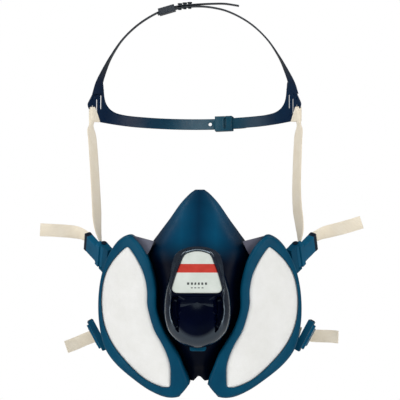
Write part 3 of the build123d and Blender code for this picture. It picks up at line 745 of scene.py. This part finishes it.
def label_pieces():
    outline = smooth_line(both_sides(LABEL), 160, closed=True)
    centre = np.array([0, -1.0])
    rays = outline - centre
    normal = rays / np.linalg.norm(rays, axis=1)[:, None]
    rows = []
    frame_profile = ((0.15, 0.1), (0.2, 1.3), (0.6, 1.9), (1.3, 2.1), (2.0, 1.8), (2.5, 1.1), (2.8, -1.2), (0.3, -1.2))
    for out, lift in frame_profile:
        ring = outline + normal * out
        rows.append(on_label(ring[:, 0], ring[:, 1], np.full(len(ring), lift - 0.9)))
    surround = add_mesh("label_surround", rows, COVER, "facepiece", closed_rows=True)
    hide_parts("exhalation_cover")
    rows = []
    plate_profile = ((1.0, -1.0), (1.0, 0.55), (0.985, 0.72), (0.95, 0.78), (0.6, 0.8), (0.2, 0.8), (0.01, 0.8))
    for scale, lift in plate_profile:
        ring = centre + rays * scale
        rows.append(on_label(ring[:, 0], ring[:, 1], np.full(len(ring), lift - 0.4)))
    label = add_mesh("label_plate", rows, LABEL_PRINT, "facepiece")
    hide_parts("label_panel")


def outlet_panel():
    """The ribbed panel under the label: five shallow steps with slots between them."""
    line = smooth_line([(-8.3, -77.8), (-16, -76.6), (-24, -73.4), (-31, -69.0), (-38.5, -62.5)], 90)
    steps = (-14.0, -19.5, -25.0, -30.5, -35.5)
    across = np.concatenate([[-12.6, -12.6], np.linspace(-12.2, 12.2, 25), [12.6, 12.6]])
    rows = []
    for z, y in line:
        rib = sum(math.exp(-((z - s) / 0.75)**2) for s in steps)
        inside = 1 - ease(np.abs(across), 8.6, 9.4)
        lift = -0.9 * rib * inside + 0.5 * ease(np.abs(across), 9.4, 10.4) * (1 - ease(np.abs(across), 11.9, 12.5))
        drop = np.zeros(len(across))
        drop[[0, -1]] = 1.6
        drop[[1, -2]] = 0.3
        front = np.column_stack([across, y - lift + drop, np.full(len(across), z)])
        back = np.column_stack([across[::-1], np.full(len(across), y + 1.9), np.full(len(across), z)])
        rows.append(np.vstack([front, back]))
    piece = add_mesh("exhaust_louvre_panel", rows, COVER, "facepiece")
    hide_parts("exhaust_louvre")


# ---- webbing
def strap_rows(stations, count, width=STRAP_W, thick=STRAP_T):
    """Rounded flat sections along stations of (centre, width direction, width share, thickness share)."""
    given = [(*s, 1.0, 1.0) if len(s) == 2 else s for s in stations]
    table = smooth_line([(*c, *w, a, b) for c, w, a, b in given], count)
    centres, across, shares = table[:, :3], table[:, 3:6], table[:, 6:]
    runs = np.gradient(centres, axis=0)
    runs /= np.linalg.norm(runs, axis=1)[:, None]
    across = across - runs * np.sum(across * runs, axis=1)[:, None]
    across /= np.linalg.norm(across, axis=1)[:, None]
    up = np.cross(runs, across)
    travelled = np.concatenate([[0], np.cumsum(np.linalg.norm(np.diff(centres, axis=0), axis=1))])
    s = np.linspace(-1, 1, 15)
    swell = 1 - 0.55 * np.abs(s)**6
    section = np.vstack([np.column_stack([s, swell]), np.column_stack([s[::-1], -swell[::-1]])])
    section *= (width / 2, thick / 2)
    rows, maps = [], []
    for c, a, u, t, (wide, deep) in zip(centres, across, up, travelled, shares):
        rows.append(c + np.outer(section[:, 0] * wide, a) + np.outer(section[:, 1] * deep, u))
        maps.append(np.column_stack([section[:, 0] + width / 2, np.full(len(section), t)]))
    return rows, maps


def strap(name, stations, body, nodes, side, count=120):
    rows, maps = strap_rows(stations, count)
    piece = add_mesh(name, rows, WEBBING, body, side=side, uv=maps)
    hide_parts(*nodes)


class Buckle:
    """A buckle's frame: local X along the pivot, local Y along the lever, local Z out of its face."""

    def __init__(self, origin, along, lever):
        self.origin = np.array(origin, float)
        self.x = np.array(along, float) / np.linalg.norm(along)
        normal = np.cross(self.x, np.array(lever, float))
        self.z = normal / np.linalg.norm(normal)
        self.y = np.cross(self.z, self.x)

    def point(self, x, y, z):
        return tuple(self.origin + x * self.x + y * self.y + z * self.z)


UPPER = Buckle((74.6, -14, 24.7), (0.117, 0.623, -0.771), (0.587, 0.587, 0.563))
LOWER = Buckle((81.0, 9.5, -38), (-0.47, 0, -0.88), (0.12, 0.985, -0.064))
UPPER_RISE = {"left": 7.0, "right": 1.0}
LOWER_DROP = {"left": 0.0, "right": 8.5}
UPPER_SHIFTS = (0.0, -1.0, -2.3, -3.4, -4.6, -5.5, -6.3, -6.8)


def buckle_start(buckle):
    """The webbing's way through a lever: up the lower slot, over the bar, down the upper slot and out under it."""
    across = tuple(buckle.x)
    through = [(6.0, -2.6), (6.0, 0.6), (7.2, 1.9), (10.5, 1.9), (13.4, 1.6), (14.0, 0.2), (15.2, -1.5), (18, -1.9),
               (22, -1.9)]
    return [(buckle.point(0, y, z), across) for y, z in through]


def grip_bar(name, side):
    """The ribbed bar across the finger end of an upper lever, dark as painted shade on the lever's far end."""
    middle = (19.5, 1.5)
    loop_y, loop_z = oblong(2.1, 2.75, 0.4, 32)
    rows = []
    for x in np.linspace(-8.0, 8.0, 65):
        share = 1 - 0.05 * (0.5 + 0.5 * math.cos(2 * math.pi * x / 1.6)) - 0.25 * ease(abs(x), 7.6, 8.0)
        rows.append([UPPER.point(x, middle[0] + share * y, middle[1] + share * z) for y, z in zip(loop_y, loop_z)])
    # the dark plastic here is painted shade on the lever's far end
    bar = add_mesh(f"{name}_grip_bar", rows, DARK, f"{name}_upper_lever", side=side)
    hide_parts(f"{name}_upper_buckle")


def upper_tail(name):
    rise = UPPER_RISE[name]
    return buckle_start(UPPER) + [
        ((93, 4.2, 41.2), (0.1, 0.45, -0.88)), ((100, 4.5, 42.6 + 0.1 * rise), (0.15, 0.15, -0.97)),
        ((109, 1.5, 43.2 + 0.35 * rise), (0.25, 0, -0.97)), ((117, -1.2, 43.4 + 0.66 * rise), (0.3, 0.1, -0.96)),
        ((124.5, -3.0, 43.4 + rise), (0.27, 0, -0.96))]


def lower_tail(name):
    drop = LOWER_DROP[name]
    return buckle_start(LOWER) + [
        ((86.5, 36.4, -40.2 - 0.1 * drop), (-0.36, 0.1, -0.92)),
        ((94, 36.2, -40.6 - 0.4 * drop), (-0.25, 0.1, -0.96)),
        ((101, 34.2, -40.6 - 0.75 * drop), (-0.28, 0.0, -0.96)),
        ((108, 31.0, -41.0 - drop), (-0.15 - 0.03 * drop, 0.1, -0.97))]


def upper_strap(name, side):
    """From behind the upper buckle to the cradle's corner, gathered where it turns into its loop."""
    face = (0.64, -0.64, 0.42)
    half = [((76.3, -6.0, 31.5), (0.1, -0.62, 0.77), 1, 1), ((78.4, 0.0, 40.5), (0.4, -0.71, 0.58), 1, 1),
            ((79.0, 8.0, 50.5), (0.58, -0.66, 0.48), 1, 1), ((78.9, 16.0, 60.0), face, 1, 1),
            ((79.6, 28.0, 75.4), face, 1, 1), ((81.2, 42.0, 95.3), face, 1, 1),
            ((83.0, 56.0, 114.0), (0.62, -0.7, 0.35), 1, 1), ((84.2, 64.0, 123.0), (0.62, -0.75, 0.2), 0.86, 1.1)]
    stations = []
    for (centre, across, wide, deep), shift in zip(half, UPPER_SHIFTS):
        x, y, z = centre
        stations.append(((x + side * shift, y, z), across, wide, deep))
    corner = 85.0 + side * CRADLE_SHIFT
    stations += [((corner - 0.2, 69.0, 128.4), (0.55, -0.8, 0.2), 0.42, 2.0),
                 ((corner - 0.6, 71.6, 132.2), (0.55, -0.8, 0.2), 0.5, 1.8),
                 ((corner - 1.4, 73.6, 136.5), (0.6, -0.78, 0.1), 0.55, 1.2)]
    rows, maps = strap_rows(stations, 150)
    piece = add_mesh(f"{name}_upper_webbing", rows, WEBBING, None, side=side, uv=maps)
    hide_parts(f"{name}_upper_strap")
    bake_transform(piece)


def corner_loop(name, side):
    """Webbing round the outer bar of a cradle corner; its inner edge leans in towards the bottom."""
    angle = math.radians(52)
    along = np.array([math.cos(angle), -math.sin(angle)])
    out = np.array([math.sin(angle), math.cos(angle)])
    middle = np.array([CRADLE_R * math.sin(angle), CRADLE_Y + CRADLE_R * math.cos(angle)])
    turn = np.linspace(0, 2 * math.pi, 72, endpoint=False)
    rows, maps = [], []
    for level in np.linspace(0, 1, 13):
        z = 131.6 + 12.0 * level
        inner, outer = -6.0 + 6.6 * level, 5.4 - 0.6 * level
        bulge = 1.0 + 0.12 * math.sin(level * math.pi)
        half_long, mid_long = (outer - inner) / 2, (outer + inner) / 2
        ring, uv = [], []
        for thick in (STRAP_T, 0.0):
            long, deep = half_long - STRAP_T + thick, (1.15 + thick) * bulge
            for a in turn if thick else turn[::-1]:
                u = long * math.copysign(abs(math.cos(a))**0.55, math.cos(a)) + mid_long
                v = deep * math.copysign(abs(math.sin(a))**0.75, math.sin(a))
                flat = middle + u * along + v * out
                ring.append((flat[0] + side * CRADLE_SHIFT, flat[1], z))
                uv.append((12.0 * level, a * 4.0))
        rows.append(ring)
        maps.append(uv)
    piece = ring_shell(f"{name}_corner_loop", rows, maps, side)
    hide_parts(f"{name}_strap_loop")


def ring_shell(name, rows, maps, side):
    """A closed band: every row holds its outer ring and then its inner ring, which are joined at both ends."""
    count, width = len(rows), len(rows[0])
    half = width // 2
    points = np.array(rows, float).reshape(-1, 3) * MM
    points[:, 0] *= side
    faces = []
    for start in (0, half):
        for i in range(count - 1):
            for j in range(half):
                a, b = i * width + start + j, i * width + start + (j + 1) % half
                faces.append((a, b, b + width, a + width))
    for i in (0, count - 1):
        for j in range(half):
            k = (j + 1) % half
            faces.append(tuple(i * width + m for m in (j, k, 2 * half - 1 - k, 2 * half - 1 - j)))
    mesh = bpy.data.meshes.new(name)
    mesh.from_pydata(points.tolist(), [], faces)
    map_weave(mesh, maps)
    return add_object(name, mesh, WEBBING, "cradle")


NECK_RUN = [((77.2, 18, -36.9), (-0.35, 0, -0.94)), ((75.2, 30, -39.3), (-0.15, 0, -0.99)),
            ((73.5, 55, -43), (-0.05, 0, -1)), ((67.5, 88, -47), (0, 0, -1)), ((53, 117.5, -50), (0, 0, -1)),
            ((34, 132.5, -51.5), (0, 0, -1)), ((24, 136.2, -52), (0, 0, -1))]


def neck_strap(name, side):
    """Along the neck, once round the clip's bar, and back on itself as a sewn end."""
    bar_x, bar_y, radius = 17.0, 138.0, 2.05
    wrap = []
    for step in range(7):
        a = math.radians(-100 - 40 * step)
        wrap.append(((bar_x + radius * math.cos(a), bar_y + radius * math.sin(a), -52), (0, 0, -1)))
    back = [((22.5, 139.2, -52), (0, 0, -1)), ((30, 136.6, -51.8), (0, 0, -1)), ((36, 133.3, -51.4), (0, 0, -1))]
    strap(f"{name}_neck_webbing", NECK_RUN + wrap + back, "neck_strap", [f"{name}_neck_strap"], side, 220)


# ---- head cradle
CRADLE_R, CRADLE_Y = 105.0, 10.0
BAND_Z = 137.0
BAND_DIP = math.radians(7.6)
CORNER_Y = CRADLE_Y + CRADLE_R * math.cos(math.radians(55))
LAP = 0.75
# A cradle corner, unrolled: (degrees from the back, height), round from the band's lower edge
CORNER = [(31, 132.5), (44, 132.9), (49.6, 133.2), (51.0, 134.6), (54.9, 142.0), (55.9, 145.5), (55.2, 148.5),
          (53.6, 153), (50.9, 161.5), (49.6, 166.5), (46.9, 166.5), (46.2, 160), (45.7, 154), (44.6, 149), (42.3, 145),
          (38.9, 142.6), (34.5, 141.7), (31, 141.5)]
SLOTS = [(53.0, 135.6, 145.4), (50.2, 139.8, 151), (47.7, 144.5, 155)]
CROWN = [((80.6, 77.8, 155.0), (0.643, -0.766, 0), 1.25), ((78.9, 75.0, 163.0), (0.55, -0.83, 0), 1.05),
         ((75.2, 71, 171.5), (0.38, -0.92, 0), 1.0), ((68.6, 67.5, 184.0), (0.12, -1, 0), 1.0),
         ((58.5, 65.5, 198.5), (0, -1, 0), 1.0), ((45, 65, 211), (0, -1, 0), 1.0), ((29, 65, 220.2), (0, -1, 0), 1.0),
         ((14.5, 65, 224.4), (0, -1, 0), 1.0), ((0, 65, 225.6), (0, -1, 0), 1.0)]


def on_cradle(degrees, z, radius):
    """A point of the upright band, leant down towards the back, before its sideways shift."""
    a = np.radians(degrees)
    x, y = radius * np.sin(a), CRADLE_Y + radius * np.cos(a)
    dy, dz = y - CORNER_Y, z - BAND_Z
    y = CORNER_Y + dy * math.cos(BAND_DIP) + dz * math.sin(BAND_DIP)
    z = BAND_Z - dy * math.sin(BAND_DIP) + dz * math.cos(BAND_DIP)
    return np.stack([x, y, z], axis=-1)


def slot_outline(degrees, low, high, half=0.42):
    round_end = [(degrees + half * math.cos(a), high + 0.7 * math.sin(a)) for a in np.linspace(0, math.pi, 7)]
    return round_end + [(2 * degrees - d, low + high - z) for d, z in round_end]


def sheet(name, outline, holes, radius, side):
    """A flat-cut moulding bent round the head: an outline with holes, filled finely, bent and thickened."""
    loops = [smooth_line(outline, 240, closed=True)] + [np.array(h) for h in holes]
    points, edges = [], []
    for loop in loops:
        start = len(points)
        points += [Vector(p) for p in loop.tolist()]
        edges += [(start + i, start + (i + 1) % len(loop)) for i in range(len(loop))]
    low, high = np.min(loops[0], axis=0), np.max(loops[0], axis=0)
    for d in np.arange(low[0] + 0.5, high[0], 1.1):
        for z in np.arange(low[1] + 0.8, high[1], 1.8):
            near = min(np.min(np.hypot((loop[:, 0] - d) * 1.8, loop[:, 1] - z)) for loop in loops)
            if near > 0.55:
                points.append(Vector((d, z)))
    flat, _, triangles, *_ = delaunay_2d_cdt(points, edges, [], 0, 1e-5)
    flat = np.array([tuple(p) for p in flat])
    kept = [t for t in triangles if is_inside(flat[list(t)].mean(axis=0), loops)]
    bent = on_cradle(flat[:, 0], flat[:, 1], radius)
    bent[:, 0] = side * bent[:, 0] + CRADLE_SHIFT
    mesh = bpy.data.meshes.new(name)
    mesh.from_pydata((bent * MM).tolist(), [], [tuple(t) for t in kept])
    piece = add_object(name, mesh, CRADLE, "cradle")
    wall = piece.modifiers.new("wall", "SOLIDIFY")
    wall.thickness = BAND_T * MM
    wall.offset = 0
    edge = piece.modifiers.new("edge", "BEVEL")
    edge.width = 0.22 * MM
    edge.segments = 2
    edge.limit_method = "ANGLE"
    edge.angle_limit = math.radians(50)
    apply_modifiers(piece)
    return piece


def is_inside(point, loops):
    """True inside the first loop and outside the others, by counting crossings."""
    crossings = 0
    x, z = point
    for loop in loops:
        a, b = loop, np.roll(loop, -1, axis=0)
        spans = (a[:, 1] > z) != (b[:, 1] > z)
        rise = np.where(spans, b[:, 1] - a[:, 1], 1)
        cross_x = a[:, 0] + (z - a[:, 1]) * (b[:, 0] - a[:, 0]) / rise
        crossings += int(np.sum(spans & (cross_x > x)))
    return crossings % 2 == 1


def cradle_half(name, side, lap, end_deg, hole_degs, lift, tail):
    """One half of the cradle: rear arm and slotted corner in one sheet, and the crown arm that rises from it."""
    band = [(end_deg, 141.5), (end_deg - 0.9, 139.8), (end_deg - 0.9, 134.2), (end_deg, 132.5)]
    steps = np.linspace(end_deg, 31, 7)[1:-1]
    outline = [(d, 132.5) for d in steps] + CORNER + [(d, 141.5) for d in steps[::-1]] + band
    holes = [slot_outline(*slot) for slot in SLOTS]
    for deg in hole_degs:
        turn = np.linspace(0, 2 * math.pi, 16, endpoint=False)
        holes.append([(deg + math.degrees(1.5 / CRADLE_R) * math.cos(a), BAND_Z + 1.5 * math.sin(a)) for a in turn])
    piece = sheet(f"{name}_cradle_band", outline, holes, CRADLE_R + lap, side)
    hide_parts(f"{name}_cradle_half")
    stations = [((side * x + CRADLE_SHIFT, y, z + lift * max(0.0, 1 - x / 45)), (side * a, b, c), share, 1)
                for (x, y, z), (a, b, c), share in CROWN]
    stations += [((side * x + CRADLE_SHIFT, 65, z), (0, -1, 0), 1, 1) for x, z in tail]
    rows, _ = strap_rows(stations, 170, BAND_W, BAND_T)
    arm = add_mesh(f"{name}_crown_arm", rows, CRADLE, "cradle")
    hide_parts(f"{name}_cradle_half")
    rib = [((x, y, z), (0.5, -0.6, -0.5), 1, 1) for x, y, z in corner_rib(side, lap)]
    rows, _ = strap_rows(rib, 30, 1.5, 1.3)
    ridge = add_mesh(f"{name}_corner_rib", rows, CRADLE, "cradle")
    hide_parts(f"{name}_cradle_half")


def corner_rib(side, lap):
    """The slanting rib across a corner, where the stiff slotted part gives way to the thin arm."""
    points = on_cradle(np.array([53.4, 51.2, 49.0, 46.6]), np.array([150.6, 153.8, 157, 160.4]), CRADLE_R + lap - 0.6)
    return [(side * x + CRADLE_SHIFT, y, z) for x, y, z in points]


def cover_tab():
    """The catch at the foot of the exhalation cover."""
    rows = []
    for y, share in ((-49, 1.0), (-59.2, 1.0), (-60.2, 0.93), (-60.6, 0.8)):
        x, z = oblong(6.0 * share, 2.7 * share, 0.35, 40)
        rows.append(np.column_stack([x, np.full(len(x), y), z - 42.0]))
    tab = add_mesh("cover_catch", rows, HOUSING, "facepiece")
    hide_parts("exhalation_cover")


# ---- stage, light and camera
CAMERA_AZIMUTH = math.radians(2.0)
CAMERA_DISTANCE = 1.35
VIEW_X, VIEW_HEIGHT = -0.0004, 0.0675
VIEW_WIDTH = 0.300          # across the frame at the filters' distance
FILTER_Y = -0.045


def add_camera():
    data = bpy.data.cameras.new("camera")
    data.sensor_width = 36
    data.lens = 36 * (CAMERA_DISTANCE + FILTER_Y) / VIEW_WIDTH
    data.clip_start, data.clip_end = 0.05, 30
    camera = bpy.data.objects.new("camera", data)
    scene.collection.objects.link(camera)
    aim = Vector((VIEW_X, 0.0, VIEW_HEIGHT))
    back = Vector((math.sin(CAMERA_AZIMUTH), -math.cos(CAMERA_AZIMUTH), 0))
    camera.location = aim + back * CAMERA_DISTANCE
    camera.rotation_mode = "QUATERNION"
    camera.rotation_quaternion = (-back).to_track_quat("-Z", "Y")
    scene.camera = camera


def area_light(name, place, aim, width, height, power):
    data = bpy.data.lights.new(name, "AREA")
    data.shape = "RECTANGLE"
    data.size, data.size_y = width, height
    data.energy = power
    light = bpy.data.objects.new(name, data)
    scene.collection.objects.link(light)
    light.location = place
    light.rotation_mode = "QUATERNION"
    light.rotation_quaternion = (Vector(aim) - Vector(place)).to_track_quat("-Z", "Y")


def add_stage():
    mesh = bpy.data.meshes.new("floor")
    size, height = 3.0, -0.46
    mesh.from_pydata([(x, y, height) for x, y in ((-size, -size), (size, -size), (size, size / 2), (-size, size / 2))],
                     [], [(0, 1, 2, 3)])
    floor = bpy.data.objects.new("floor", mesh)
    scene.collection.objects.link(floor)
    pale = Shader("pale_floor", Roughness=0.9)
    pale.link(pale.ramp(pale.noise(3, 2), [(0.3, (0.84, 0.84, 0.84, 1)), (0.7, (0.88, 0.88, 0.88, 1))]),
              pale.main.inputs["Base Color"])
    mesh.materials.append(pale.material)


def add_world():
    """White to look at, but a dimmer grey for what it lights and what is mirrored in gloss."""
    world = bpy.data.worlds.new("studio")
    scene.world = world
    world.use_nodes = True
    tree = world.node_tree
    background = tree.nodes["Background"]
    background.inputs["Color"].default_value = (1, 1, 1, 1)
    path = tree.nodes.new("ShaderNodeLightPath")
    strength = tree.nodes.new("ShaderNodeMapRange")
    strength.inputs["To Min"].default_value = 0.24
    strength.inputs["To Max"].default_value = 1.0
    tree.links.new(path.outputs["Is Camera Ray"], strength.inputs["Value"])
    tree.links.new(strength.outputs["Result"], background.inputs["Strength"])
    scene.view_settings.view_transform = "Standard"


add_camera()
add_stage()
add_world()
centre = (0, 0, 0.05)
area_light("key", (-0.1, -1.42, 0.66), centre, 0.9, 0.6, 10)
for side in (1, -1):
    area_light(f"side_{side}", (side * 1.1, -0.62, 0.12), centre, 0.5, 1.1, 5.5)
    area_light(f"shoulder_{side}", (side * 0.7, 0.3, 1.05), centre, 0.45, 0.45, 2.5)

dress_cad_nodes()
for name, side in SIDES:
    bezel(name, side)
    filter_pad(name, side)
front_shell()
egg_cover()
label_pieces()
outlet_panel()
cover_tab()
for name, side in SIDES:
    for level, tail in (("upper", upper_tail(name)), ("lower", lower_tail(name))):
        strap(f"{name}_{level}_tail_webbing", tail, f"{name}_{level}_lever", [f"{name}_{level}_strap_tail"], side)
    grip_bar(name, side)
    upper_strap(name, side)
    corner_loop(name, side)
    neck_strap(name, side)
cradle_half("left", 1, -LAP, 8.7, (10.5,), -LAP, [(-14.5, 223.1), (-30, 218.3)])
cradle_half("right", -1, LAP, -22.5, (-19.3, -14.9, -10.5, -6.1), LAP, [(-14.5, 227.0), (-25, 226.9), (-36.0, 225.2)])
for node in ("upper_buckle", "lower_buckle"):
    for name, _ in SIDES:
        soft_copy(f"{name}_{node}", BUCKLE)
for node in ("rear_keeper", "crown_keeper"):
    soft_copy(node, CRADLE, 0.3, 3)
for node in ("neck_clip_eye", "neck_clip_hook"):
    soft_copy(node, BUCKLE, 0.3, 3)
soft_copy("face_seal", SEAL, 0.9, 6)
